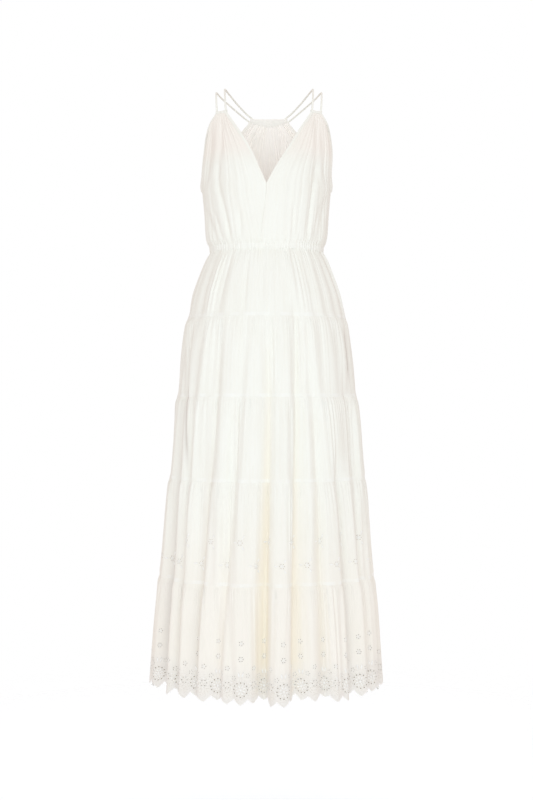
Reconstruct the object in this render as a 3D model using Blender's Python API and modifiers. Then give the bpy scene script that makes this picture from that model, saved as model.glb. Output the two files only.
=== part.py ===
"""Sleeveless tiered maxi dress with a faux-wrap bodice, double shoulder straps and a scalloped hem.

Metres, +Z up. The origin is where the straps cross the shoulders. The front faces -Y and the viewer's
right is +X. The dress keeps the hollow form it has when it is worn.
"""

import bpy
import numpy as np

# Heights of the seams and edges, below the shoulder line.
FRONT_TOP = -0.069
BAND_TOP = -0.044
BAND_BOTTOM = -0.062
NECK_POINT = -0.236
UNDERARM = -0.236
WAIST_TOP = -0.364
WAIST_BOTTOM = -0.3755
HEM = -1.364

# Cloth and trimmings. Walls lean a little at a seam, so their middles are parted further than the
# 0.3 mm that stays clear.
CLOTH = 0.0012
TRIM = 0.0010
SEAM_GAP = 0.0006
SIDE_GAP = 0.0012
LIFT = 0.0017
BINDING_WIDTH = 0.006
STRAP_RADIUS = 0.00175
STRAP_POINTS = 13
SCALLOPS = 60
SCALLOP_DEPTH = 0.012

# The upper part hangs a little to the viewer's right: how far at the armholes and above them.
LEAN = 0.004
LEAN_ABOVE = 0.0015

# Widths across the front, from the centre line outwards.
NECK_HALF_WIDTH = 0.094
BOW_OVER = 0.002
BOW_UNDER = 0.0065
BAND_END_HEIGHT = 0.0065
LAP_OVER = 0.012
LAP_UNDER = 0.020
LAP_LIFT = 0.0009
LAP_ANGLE = 11.0
LAP_FADE_ANGLE = 12.0
LAP_FADE_HEIGHT = 0.060

# Height, half width, front depth and back depth of the hollow form.
SECTIONS = np.array([
    (0.000, 0.150, 0.092, 0.098),
    (-0.069, 0.152, 0.098, 0.103),
    (-0.110, 0.153, 0.108, 0.107),
    (-0.160, 0.152, 0.119, 0.108),
    (-0.200, 0.150, 0.126, 0.107),
    (-0.236, 0.147, 0.125, 0.104),
    (-0.290, 0.142, 0.117, 0.101),
    (-0.335, 0.139, 0.113, 0.101),
    (-0.352, 0.136, 0.110, 0.101),
    (-0.364, 0.130, 0.105, 0.099),
    (-0.376, 0.129, 0.104, 0.099),
    (-0.390, 0.136, 0.110, 0.107),
    (-0.430, 0.153, 0.123, 0.123),
    (-0.475, 0.169, 0.135, 0.137),
    (-0.528, 0.182, 0.146, 0.147),
    (-0.542, 0.188, 0.151, 0.152),
    (-0.620, 0.199, 0.160, 0.161),
    (-0.706, 0.207, 0.166, 0.167),
    (-0.720, 0.213, 0.171, 0.172),
    (-0.892, 0.226, 0.181, 0.182),
    (-0.908, 0.232, 0.186, 0.187),
    (-1.115, 0.248, 0.198, 0.199),
    (-1.131, 0.254, 0.203, 0.204),
    (-1.364, 0.268, 0.214, 0.215),
])

# Each tier's number, top, bottom, gathers, columns for each gather, rows and gather height at top and hem.
TIERS = (
    (1, WAIST_BOTTOM, -0.528, 30, 4, (0.0, 0.10, 0.40, 1.0), 0.0032, 0.0014),
    (2, -0.528, -0.706, 30, 4, (0.0, 0.08, 0.50, 1.0), 0.0042, 0.0016),
    (3, -0.706, -0.892, 30, 4, (0.0, 0.08, 0.50, 1.0), 0.0048, 0.0018),
    (4, -0.892, -1.115, 30, 4, (0.0, 0.07, 0.50, 1.0), 0.0054, 0.0020),
    (5, -1.115, HEM, 40, 6, (0.0, 0.065, 0.50, 1.0), 0.0052, 0.0034),
)

# Each hanging fold's angle at the waist and at the hem, depth at the hem, half width in degrees and the
# height where it starts. Angles run from the front centre, positive towards the viewer's right.
FOLDS = (
    (-80.0, -82.0, 0.022, 4.5, -0.46),
    (-67.0, -62.0, 0.027, 4.0, -0.52),
    (-50.0, -50.0, 0.018, 4.0, -0.72),
    (-31.0, -37.0, 0.028, 4.5, -0.50),
    (-13.0, -23.0, 0.025, 4.5, -0.50),
    (2.5, -1.0, 0.029, 4.5, -0.50),
    (21.0, 13.0, 0.025, 4.0, -0.44),
    (30.0, 30.0, 0.024, 4.5, -0.56),
    (44.0, 46.0, 0.023, 4.5, -0.80),
    (59.0, 60.0, 0.017, 4.0, -0.60),
    (74.0, 76.0, 0.028, 4.5, -0.50),
    (92.0, 93.0, 0.016, 4.0, -0.66),
    (106.0, 108.0, 0.026, 4.5, -0.48),
    (122.0, 124.0, 0.020, 4.5, -0.60),
    (137.0, 140.0, 0.027, 4.5, -0.46),
    (153.0, 154.0, 0.018, 4.0, -0.74),
    (168.0, 170.0, 0.028, 4.5, -0.48),
    (184.0, 186.0, 0.022, 4.5, -0.56),
    (200.0, 201.0, 0.026, 4.5, -0.46),
    (217.0, 216.0, 0.018, 4.0, -0.70),
    (233.0, 231.0, 0.027, 4.5, -0.50),
    (249.0, 247.0, 0.021, 4.5, -0.58),
    (264.0, 263.0, 0.025, 4.0, -0.48),
)
FOLD_ONSET = 0.12
FOLD_SHARE_AT_WAIST = 0.35

# Height, armhole angle of the front and of the back (from the back centre), and height of the gathers.
BODICE = np.array([
    (-0.069, 51.5, 16.8, 0.0000),
    (-0.090, 61.0, 26.0, 0.0007),
    (-0.120, 68.0, 35.0, 0.0013),
    (-0.155, 74.0, 44.5, 0.0015),
    (-0.195, 79.5, 56.0, 0.0012),
    (-0.227, 86.5, 77.0, 0.0012),
    (-0.236, 90.0, 90.0, 0.0012),
    (-0.290, 90.0, 90.0, 0.0014),
    (-0.335, 90.0, 90.0, 0.0028),
    (-0.352, 90.0, 90.0, 0.0032),
    (-0.364, 90.0, 90.0, 0.0000),
])
FRONT_GATHERS = 4
BACK_GATHERS = 8
COLUMNS_PER_GATHER = 4

# Points of an inner and an outer strap, on the viewer's right: front, over the shoulder, back.
INNER_STRAP = (
    (0.0965, -0.0757, -0.0635),
    (0.0985, -0.0690, -0.0400),
    (0.0998, -0.0450, -0.0130),
    (0.0997, -0.0080, -0.0018),
    (0.0930, 0.0320, -0.0040),
    (0.0760, 0.0700, -0.0170),
    (0.0560, 0.0930, -0.0320),
    (0.0390, 0.1010, -0.0422),
)
OUTER_STRAP = (
    (0.1170, -0.0615, -0.0635),
    (0.1185, -0.0570, -0.0420),
    (0.1196, -0.0380, -0.0190),
    (0.1190, -0.0050, -0.0090),
    (0.1110, 0.0330, -0.0120),
    (0.0900, 0.0690, -0.0240),
    (0.0660, 0.0920, -0.0390),
    (0.0467, 0.0995, -0.0505),
)

COLOURS = {
    "crinkled_cloth": (0.90, 0.89, 0.84),
    "bound_edges": (0.87, 0.86, 0.81),
}


def clear_scene():
    for thing in list(bpy.data.objects):
        bpy.data.objects.remove(thing, do_unlink=True)


def make_material(name):
    material = bpy.data.materials.new(name)
    material.use_nodes = True
    surface = material.node_tree.nodes["Principled BSDF"]
    surface.inputs["Base Color"].default_value = (*COLOURS[name], 1.0)
    surface.inputs["Roughness"].default_value = 0.9
    surface.inputs["Metallic"].default_value = 0.0
    return material


def ease(share):
    """Runs smoothly from 0 to 1 while the share does."""
    share = np.clip(share, 0.0, 1.0)
    return share * share * (3.0 - 2.0 * share)


def section(height):
    """Half width, front depth and back depth of the form at a height."""
    table = SECTIONS[::-1]
    return [np.interp(height, table[:, 0], table[:, column]) for column in (1, 2, 3)]


def on_form(angle, height, outwards=0.0):
    """Points at an angle in degrees and a height, moved outwards square to the oval section."""
    half_width, front, back = section(height)
    turn = np.radians(angle)
    depth = np.where(np.cos(turn) > 0.0, front, back)
    across = np.sin(turn) / half_width
    along = -np.cos(turn) / depth
    length = np.hypot(across, along)
    x = half_width * np.sin(turn) + outwards * across / length
    y = -depth * np.cos(turn) + outwards * along / length
    return np.stack(np.broadcast_arrays(x, y, height), axis=-1)


def folds(angle, height):
    """How far the hanging folds sink inwards: one soft trough for each row of the table."""
    down = ease((WAIST_BOTTOM - height) / (WAIST_BOTTOM - HEM))
    growth = FOLD_SHARE_AT_WAIST + (1.0 - FOLD_SHARE_AT_WAIST) * down
    sunk = 0.0
    for at_waist, at_hem, depth, half_width, start in FOLDS:
        centre = at_waist + (at_hem - at_waist) * down
        aside = (angle - centre + 180.0) % 360.0 - 180.0
        sunk = sunk + depth * growth * ease((start - height) / FOLD_ONSET) * np.exp(-(aside / half_width) ** 2)
    return sunk


def lean(height):
    """How far the dress hangs over to the viewer's right at a height."""
    return LEAN * ease((height + 0.210) / 0.070) + LEAN_ABOVE * ease((height + 0.120) / 0.060)


def uneven(angle, number):
    """Share between about 0.5 and 1 that makes one gather higher than its neighbour."""
    turn = np.radians(angle)
    return 0.76 + 0.14 * np.sin(3.0 * turn + number) + 0.12 * np.cos(11.0 * turn + 2.0 * number)


def add_cloth(name, grid, thickness, material, collection, closed=False):
    """A wall over a grid of points, half its thickness to each side of them."""
    rows, columns = grid.shape[:2]
    index = np.arange(rows * columns).reshape(rows, columns)
    if closed:
        index = np.concatenate([index, index[:, :1]], axis=1)
    corners = (index[:-1, :-1], index[1:, :-1], index[1:, 1:], index[:-1, 1:])
    faces = np.stack(corners, axis=-1).reshape(-1, 4)
    grid = grid + lean(grid[..., 2:]) * np.array([1.0, 0.0, 0.0])
    mesh = bpy.data.meshes.new(name)
    mesh.from_pydata(grid.reshape(-1, 3).tolist(), [], faces.tolist())
    mesh.materials.append(material)
    mesh.shade_smooth()
    cloth = bpy.data.objects.new(name, mesh)
    collection.objects.link(cloth)
    split = cloth.modifiers.new("one split for both sides", "TRIANGULATE")
    split.quad_method = "FIXED"
    wall = cloth.modifiers.new("wall", "SOLIDIFY")
    wall.thickness = thickness
    wall.offset = 0.0
    return cloth


def half_angles(side, columns):
    """Angles of the columns of a front or back half, parted from the other half at the side seams."""
    middle = 0.0 if side == "front" else 180.0
    return middle + np.linspace(-90.0, 90.0, columns + 1)


def part_at_sides(grid):
    """Draws the first and last columns in by half the seam gap, along the cloth."""
    for edge, inner in ((0, 1), (-1, -2)):
        inwards = grid[:, inner] - grid[:, edge]
        length = np.linalg.norm(inwards, axis=-1, keepdims=True)
        grid[:, edge] += inwards / length * SIDE_GAP / 2.0
    return grid


def add_tier(row, side, material, collection):
    """Half a tier: gathered under the seam above, hanging in folds, and scalloped on the last one."""
    number, top, bottom, gathers, per_gather, shares, high, low = row
    columns = gathers * per_gather // 2
    angle = half_angles(side, columns)[None, :]
    share = np.array(shares)[:, None]
    last = bottom == HEM
    end = bottom if last else bottom + SEAM_GAP / 2.0
    start = top - SEAM_GAP / 2.0
    height = start + (end - start) * share + 0.0 * angle
    if last:
        along = np.arange(columns + 1) * SCALLOPS / 2.0 / columns
        lobe = np.abs(np.sin(np.pi * along))
        height[-1] += SCALLOP_DEPTH * (1.0 - lobe)
    swell = np.where(share > 0.0, high + (low - high) * share, 0.0)
    if not last:
        swell = np.where(share < 1.0, swell, 0.0)
    wave = np.cos(np.pi * gathers * np.linspace(0.0, 1.0, columns + 1))[None, :]
    outwards = swell * wave * uneven(angle, number) - folds(angle, height)
    grid = on_form(angle, height, outwards)
    if last:
        seam = grid[0]
        seam[1:-1:2] = (seam[0:-2:2] + seam[2::2]) / 2.0
    add_cloth(f"tier_{number}_{side}", part_at_sides(grid), CLOTH, material, collection)


def bodice_heights(top):
    """The rows of the bodice, from an upper edge to the seam over the waist casing."""
    heights = BODICE[:, 0].copy()
    heights[0] = top - SEAM_GAP / 2.0
    heights[-1] = WAIST_TOP + SEAM_GAP / 2.0
    return heights


def panel_columns(gathers, inner, outer, heights):
    """Angles of a panel's columns and the wave of its gathers.

    The first and the last column stand one binding's width from the edges, and the gathers lie between.
    """
    width = np.radians(np.abs(outer - inner)) * section(heights)[0]
    edge = BINDING_WIDTH / width
    count = gathers * COLUMNS_PER_GATHER
    between = np.linspace(0.0, 1.0, count + 1)[None, :]
    share = np.hstack([0.0 * edge, edge + (1.0 - 2.0 * edge) * between, 1.0 + 0.0 * edge])
    fade = ease(2.0 * between) * ease(2.0 * (1.0 - between))
    fade = np.minimum(1.0, 2.0 * fade) * np.sign(between * (1.0 - between))
    wave = np.cos(2.0 * np.pi * gathers * between + np.pi) * fade
    wave = np.hstack([[[0.0]], wave, [[0.0]]])
    return inner + (outer - inner) * share, wave


def neck_angle(height, over):
    """Angle of the wrap edge: bowed in a little to the neck point, then past the centre to the waist."""
    half_width = section(height)[0]
    up = (height - NECK_POINT) / (FRONT_TOP - NECK_POINT)
    above = NECK_HALF_WIDTH * up - (BOW_OVER if over else BOW_UNDER) * np.sin(np.pi * np.clip(up, 0.0, 1.0))
    lap = LAP_OVER if over else LAP_UNDER
    below = -lap * ease((NECK_POINT - height) / (NECK_POINT - WAIST_TOP))
    across = np.where(height > NECK_POINT, above, below)
    return np.degrees(np.arcsin(across / half_width))


def lapped(angle, height):
    """1 near the centre line, where one front lies on the other, and 0 away from it."""
    near = 1.0 - ease((np.abs(angle) - LAP_ANGLE) / LAP_FADE_ANGLE)
    low = 1.0 - ease((height - NECK_POINT) / LAP_FADE_HEIGHT)
    return near * low


def front_grid(over):
    """One front, as rows from the gathered top edge to the waist and columns from wrap edge to side."""
    height = bodice_heights(FRONT_TOP)[:, None]
    angle, wave = panel_columns(FRONT_GATHERS, neck_angle(height, over), BODICE[:, 1:2], height)
    height = height + 0.0 * angle
    lap = lapped(angle, height)
    lift = LAP_LIFT if over else -LAP_LIFT
    grid = on_form(angle, height, BODICE[:, 3:] * wave * (1.0 - lap) + lift * lap)
    below = BODICE[:, 0] <= UNDERARM
    grid[below, -1, 1] -= SIDE_GAP / 2.0
    return grid


def mirror(grid):
    """The same points on the viewer's left, in an order that keeps the outside out."""
    return (grid * np.array([-1.0, 1.0, 1.0]))[:, ::-1]


def band_bottom(angle):
    """Lower edge of the back band, which is narrow at its ends and sags to the middle."""
    aside = (angle - 180.0) / BODICE[0, 2]
    return BAND_BOTTOM + (BAND_TOP - BAND_END_HEIGHT - BAND_BOTTOM) * aside ** 2


def back_grid():
    """The back, as rows from the band to the waist and columns from one side to the other."""
    height = bodice_heights(BAND_BOTTOM)[:, None]
    spread = BODICE[:, 2:3]
    angle, wave = panel_columns(BACK_GATHERS, 180.0 - spread, 180.0 + spread, height)
    height = height + 0.0 * angle
    height[0] = band_bottom(angle[0]) - SEAM_GAP / 2.0
    grid = on_form(angle, height, BODICE[:, 3:] * wave)
    below = BODICE[:, 0] <= UNDERARM
    for edge in (0, -1):
        grid[below, edge, 1] += SIDE_GAP / 2.0
    return grid


def lifted(points):
    """A panel's own points moved straight out from the middle of the dress, to lie on that panel."""
    outwards = points * np.array([1.0, 1.0, 0.0])
    return points + LIFT * outwards / np.linalg.norm(outwards, axis=-1, keepdims=True)


def add_bodice(cloth, trim, collection):
    """Two fronts that wrap, the gathered back, and the narrow bindings along their cut edges."""
    right = front_grid(True)
    left = mirror(front_grid(False))
    back = back_grid()
    add_cloth("front_right", right, CLOTH, cloth, collection)
    add_cloth("front_left", left, CLOTH, cloth, collection)
    add_cloth("back", back, CLOTH, cloth, collection)
    neck = BODICE[:, 0] > NECK_POINT
    armhole = BODICE[:, 0] >= UNDERARM
    bindings = (
        ("neck_binding_right", right[:, :2]),
        ("neck_binding_left", left[neck, -2:]),
        ("armhole_binding_front_right", right[armhole, -2:]),
        ("armhole_binding_front_left", left[armhole, :2]),
        ("armhole_binding_back_right", back[armhole, :2]),
        ("armhole_binding_back_left", back[armhole, -2:]),
    )
    for name, edge in bindings:
        add_cloth(name, lifted(edge), TRIM, trim, collection)


def add_band(name, angles, top, bottom, material, collection):
    """A short upright band that holds gathers, between two heights or two rows of them."""
    height = np.stack([top + 0.0 * angles, bottom + 0.0 * angles])
    add_cloth(name, on_form(angles[None, :], height), 2.0 * TRIM, material, collection)


def add_bands(trim, collection):
    """The bands that hold the gathers at the top of each front and of the back."""
    half_width = section(FRONT_TOP)[0]
    inner = np.degrees(np.arcsin(NECK_HALF_WIDTH / half_width))
    for name, sign in (("front_band_right", 1.0), ("front_band_left", -1.0)):
        angles = np.linspace(inner * sign, BODICE[0, 1] * sign, 5)
        add_band(name, angles, FRONT_TOP + 0.005, FRONT_TOP + SEAM_GAP / 2.0, trim, collection)
    angles = 180.0 + np.linspace(-BODICE[0, 2], BODICE[0, 2], 9)
    add_band("back_band", angles, BAND_TOP, band_bottom(angles) + SEAM_GAP / 2.0, trim, collection)


def add_waist(cloth, collection):
    """The elastic casing between bodice and skirt, a closed ring."""
    angles = np.linspace(-180.0, 180.0, 49)[None, :-1]
    inset = SEAM_GAP / 2.0
    height = np.array([WAIST_TOP - inset, WAIST_BOTTOM + inset])[:, None] + 0.0 * angles
    add_cloth("waist_casing", on_form(angles, height), 2.0 * TRIM, cloth, collection, closed=True)


def smooth_route(points, count):
    """Points evenly spread along a smooth curve through a route's own points."""
    points = np.array(points)
    before = np.vstack([2.0 * points[0] - points[1], points, 2.0 * points[-1] - points[-2]])
    route = []
    for step in np.linspace(0.0, len(points) - 1.0, count):
        first = min(int(step), len(points) - 2)
        part = step - first
        a, b, c, d = before[first:first + 4]
        bend = (2.0 * a - 5.0 * b + 4.0 * c - d) * part ** 2 + (3.0 * (b - c) + d - a) * part ** 3
        route.append(b + 0.5 * ((c - a) * part + bend))
    return np.array(route)


def add_strap(name, points, sign, material, collection):
    """A thin tube of cloth over the shoulder."""
    route = smooth_route(points, STRAP_POINTS) * np.array([sign, 1.0, 1.0])
    route[:, 0] += lean(route[:, 2])
    curve = bpy.data.curves.new(name, "CURVE")
    curve.dimensions = "3D"
    curve.bevel_depth = STRAP_RADIUS
    curve.bevel_resolution = 2
    curve.use_fill_caps = True
    spline = curve.splines.new("POLY")
    spline.points.add(len(route) - 1)
    for point, place in zip(spline.points, route):
        point.co = (*place, 1.0)
    curve.materials.append(material)
    strap = bpy.data.objects.new(name, curve)
    collection.objects.link(strap)


def build():
    clear_scene()
    collection = bpy.data.collections.new("maxi_dress")
    bpy.context.scene.collection.children.link(collection)
    cloth = make_material("crinkled_cloth")
    trim = make_material("bound_edges")
    add_bodice(cloth, trim, collection)
    add_bands(trim, collection)
    for side, sign in (("right", 1.0), ("left", -1.0)):
        add_strap(f"inner_strap_{side}", INNER_STRAP, sign, trim, collection)
        add_strap(f"outer_strap_{side}", OUTER_STRAP, sign, trim, collection)
    add_waist(cloth, collection)
    for row in TIERS:
        for side in ("front", "back"):
            add_tier(row, side, cloth, collection)


build()
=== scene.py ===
"""The look of a sleeveless tiered maxi dress: a wrapped bodice on double straps, an elastic waist and
five gathered tiers, the last one embroidered and scalloped. Metres, +Z up, the front towards -Y.
"""

import bpy
import numpy as np
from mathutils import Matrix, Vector


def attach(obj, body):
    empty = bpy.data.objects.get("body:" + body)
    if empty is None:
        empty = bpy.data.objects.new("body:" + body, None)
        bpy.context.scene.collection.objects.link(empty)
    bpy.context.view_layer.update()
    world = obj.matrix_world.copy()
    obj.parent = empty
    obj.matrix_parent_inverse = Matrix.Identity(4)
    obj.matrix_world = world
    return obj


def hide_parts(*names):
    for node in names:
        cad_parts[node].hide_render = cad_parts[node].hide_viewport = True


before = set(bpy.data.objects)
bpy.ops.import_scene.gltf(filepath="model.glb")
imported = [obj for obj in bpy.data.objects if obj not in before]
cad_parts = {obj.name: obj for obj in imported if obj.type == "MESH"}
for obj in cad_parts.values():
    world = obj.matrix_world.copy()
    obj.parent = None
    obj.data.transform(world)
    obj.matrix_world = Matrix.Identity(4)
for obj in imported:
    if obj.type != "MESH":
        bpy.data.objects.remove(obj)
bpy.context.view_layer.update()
scene = bpy.context.scene


# Camera. It stands level with the upper skirt, 2.8 m in front of the dress, and looks straight ahead.
# Its lens gives the photograph's frame, 533 wide and 800 high.
lens = bpy.data.cameras.new("camera")
lens.lens = 54.75
lens.sensor_width = 36.0
camera = bpy.data.objects.new("camera", lens)
camera.location = (0.0, -2.8, -0.713)
camera.rotation_euler = (np.radians(90.0), 0.0, 0.0)
scene.collection.objects.link(camera)
scene.camera = camera


# Shader arithmetic. A finish is one procedural material, and a shade is one of its sockets, which
# Python's operators join to Math nodes.
class Shade:
    """A socket of a node tree, with operators that add the Math nodes of an expression."""

    def __init__(self, nodes, socket):
        self.nodes = nodes
        self.socket = socket

    def math(self, operation, *others):
        return self.nodes.node("ShaderNodeMath", {"operation": operation}, (self, *others))

    def __add__(self, other):
        return self.math("ADD", other)

    __radd__ = __add__

    def __mul__(self, other):
        return self.math("MULTIPLY", other)

    __rmul__ = __mul__

    def __sub__(self, other):
        return self.math("SUBTRACT", other)

    def __rsub__(self, other):
        return self.nodes.node("ShaderNodeMath", {"operation": "SUBTRACT"}, (other, self))

    def __mod__(self, other):
        return self.math("FLOORED_MODULO", other)

    def between(self, low, high):
        """Runs smoothly from 0 at low to 1 at high, whichever of them is greater."""
        ends = {"Value": self, "From Min": low, "From Max": high}
        return self.nodes.node("ShaderNodeMapRange", {"interpolation_type": "SMOOTHSTEP"}, ends)


class Nodes:
    """The node tree of a material or a world, whose nodes are all made by one method."""

    def __init__(self, owner):
        owner.use_nodes = True
        self.tree = owner.node_tree

    def join(self, socket, value):
        if isinstance(value, Shade):
            self.tree.links.new(value.socket, socket)
        else:
            socket.default_value = value

    def node(self, kind, settings, inputs, output=0):
        """A new node with its settings, then its inputs, by number or name. It returns one output."""
        made = self.tree.nodes.new(kind)
        for name, value in settings.items():
            setattr(made, name, value)
        pairs = inputs.items() if isinstance(inputs, dict) else enumerate(inputs)
        for name, value in pairs:
            self.join(made.inputs[name], value)
        return Shade(self, made.outputs[output])

    def along(self, place, axis):
        """One coordinate of a place."""
        return self.node("ShaderNodeSeparateXYZ", {}, (place,), axis)


class Finish(Nodes):
    """A material: constants on its Principled shader, and nodes that feed it."""

    def __init__(self, name, constants):
        self.material = bpy.data.materials.new(name)
        super().__init__(self.material)
        self.surface = self.tree.nodes["Principled BSDF"]
        for socket, value in constants.items():
            self.surface.inputs[socket].default_value = value

    def feed(self, name, value):
        self.join(self.surface.inputs[name], value)

    def colours(self, share, first, second):
        """The first colour where the share is 0, and the second where it is 1."""
        return self.node("ShaderNodeMix", {"data_type": "RGBA"}, {0: share, 6: first, 7: second}, 2)

    def noise(self, place, sizes, detail=2.0):
        """Noise over a place whose coordinates are each multiplied by their own number."""
        scaled = self.node("ShaderNodeVectorMath", {"operation": "MULTIPLY"}, (place, sizes))
        inputs = {"Vector": scaled, "Scale": 1.0, "Detail": detail, "Roughness": 0.55}
        return self.node("ShaderNodeTexNoise", {}, inputs)

    def bump(self, height, distance):
        """Sends a height between 0 and 1 to the surface as relief of that distance in metres."""
        inputs = {"Height": height, "Distance": distance, "Strength": 1.0}
        self.feed("Normal", self.node("ShaderNodeBump", {}, inputs))


# Studio. A pale floor below the hem, warm soft light from a white room, weaker from the sides, and a
# broad cooler light in front, with a weaker one behind.
ROOM_COLOUR = (1.0, 0.905, 0.865, 1.0)
ROOM_STRENGTH = 0.84
LOST_AT_SIDES = 0.15
LIGHT_COLOUR = (0.64, 0.90, 1.0)
LIGHT_HEIGHT = -0.2
LIGHT_DROP = 0.13
scene.view_settings.view_transform = "Standard"
room = bpy.data.worlds.new("white room")
room_nodes = Nodes(room)
bearing = room_nodes.node("ShaderNodeTexCoord", {}, {}, "Generated")
sideways = room_nodes.along(bearing, "X")
dimmed = ROOM_STRENGTH - LOST_AT_SIDES * (sideways * sideways)
lit = room_nodes.node("ShaderNodeBackground", {}, (ROOM_COLOUR, dimmed))
seen = room_nodes.node("ShaderNodeBackground", {}, ((1.0, 1.0, 1.0, 1.0), 1.0))
looked_at = room_nodes.node("ShaderNodeLightPath", {}, {}, "Is Camera Ray")
either = room_nodes.node("ShaderNodeMixShader", {}, (looked_at, lit, seen))
room_nodes.join(room_nodes.tree.nodes["World Output"].inputs["Surface"], either)
scene.world = room


def soft_light(name, x, y, power):
    """A square panel of light in front of the dress or behind it, turned down a little to face it."""
    panel = bpy.data.lights.new(name, "AREA")
    panel.size = 2.2
    panel.energy = power
    panel.color = LIGHT_COLOUR
    panel.spread = np.radians(90.0)
    lamp = bpy.data.objects.new(name, panel)
    lamp.location = (x, y, LIGHT_HEIGHT)
    lamp.rotation_euler = Vector((0.0, -y, -LIGHT_DROP)).to_track_quat("-Z", "Y").to_euler()
    scene.collection.objects.link(lamp)


soft_light("front light", 0.02, -2.6, 7.8)
soft_light("back light", 0.0, 2.6, 5.0)

FLOOR_HEIGHT = -1.75
FLOOR_RADIUS = 2.4
FLOOR_SIDES = 48
FLOOR_PALE = (0.97, 0.97, 0.97, 1.0)
FLOOR_DULL = (0.95, 0.95, 0.95, 1.0)
floor_glow = {"Emission Color": (0.70, 0.88, 1.0, 1.0), "Emission Strength": 0.29}
floor_finish = Finish("pale_floor", {"Roughness": 0.9, **floor_glow})
floor_place = floor_finish.node("ShaderNodeTexCoord", {}, {}, "Object")
floor_reach = floor_finish.node("ShaderNodeVectorMath", {"operation": "LENGTH"}, (floor_place,), "Value")
floor_grain = floor_finish.noise(floor_place, (9.0, 9.0, 9.0))
floor_finish.feed("Base Color", floor_finish.colours(floor_grain, FLOOR_PALE, FLOOR_DULL))
floor_finish.feed("Alpha", 1.0 - floor_reach.between(1.9, 2.7))


def round_turn(count):
    """Angles in radians of evenly spaced places, once round."""
    return np.linspace(0.0, 2.0 * np.pi, count, endpoint=False)


floor_turn = round_turn(FLOOR_SIDES)
floor_rim = np.stack([np.cos(floor_turn), np.sin(floor_turn), 0.0 * floor_turn], axis=-1)
floor_points = FLOOR_RADIUS * floor_rim + np.array([0.0, 0.0, FLOOR_HEIGHT])
floor_mesh = bpy.data.meshes.new("floor")
floor_mesh.from_pydata(floor_points.tolist(), [], [list(range(FLOOR_SIDES))])
floor_mesh.materials.append(floor_finish.material)
floor = bpy.data.objects.new("floor", floor_mesh)
scene.collection.objects.link(floor)


# Crinkled cotton. All the main pieces are cut from one thin ivory cloth, woven plain and crinkled
# down its length. Its map runs in metres of cloth, across and then up from the lower edge.
IVORY = (0.93, 0.93, 0.885, 1.0)
IVORY_SHADE = (0.885, 0.865, 0.79, 1.0)
PALEST = (0.965, 0.97, 0.95, 1.0)
# Painted warm tint towards the hem, where the cool front light is weaker.
PAINTED_HEM_WARMTH = (0.95, 0.915, 0.855, 1.0)
# Painted shade in folds: warm near the middle, where painted light comes through, and grey at the sides.
WARM_FOLD_SHADE = (0.915, 0.85, 0.725, 1.0)
GREY_FOLD_SHADE = (0.80, 0.775, 0.735, 1.0)
# Painted shade in sharp creases, and the colour of the hem border's darker stitches.
CREASE_SHADE_AND_STITCH = (0.60, 0.56, 0.50, 1.0)
# Grey of the hem border: partly denser embroidery, partly painted shade.
BORDER_GREY_AND_SHADE = (0.875, 0.85, 0.82, 1.0)
CLOTH = 0.0009
CLOTH_RELIEF = 0.0008
FINE_RELIEF = 0.0004
SEAM_ALLOWANCE = 0.0075


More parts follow.
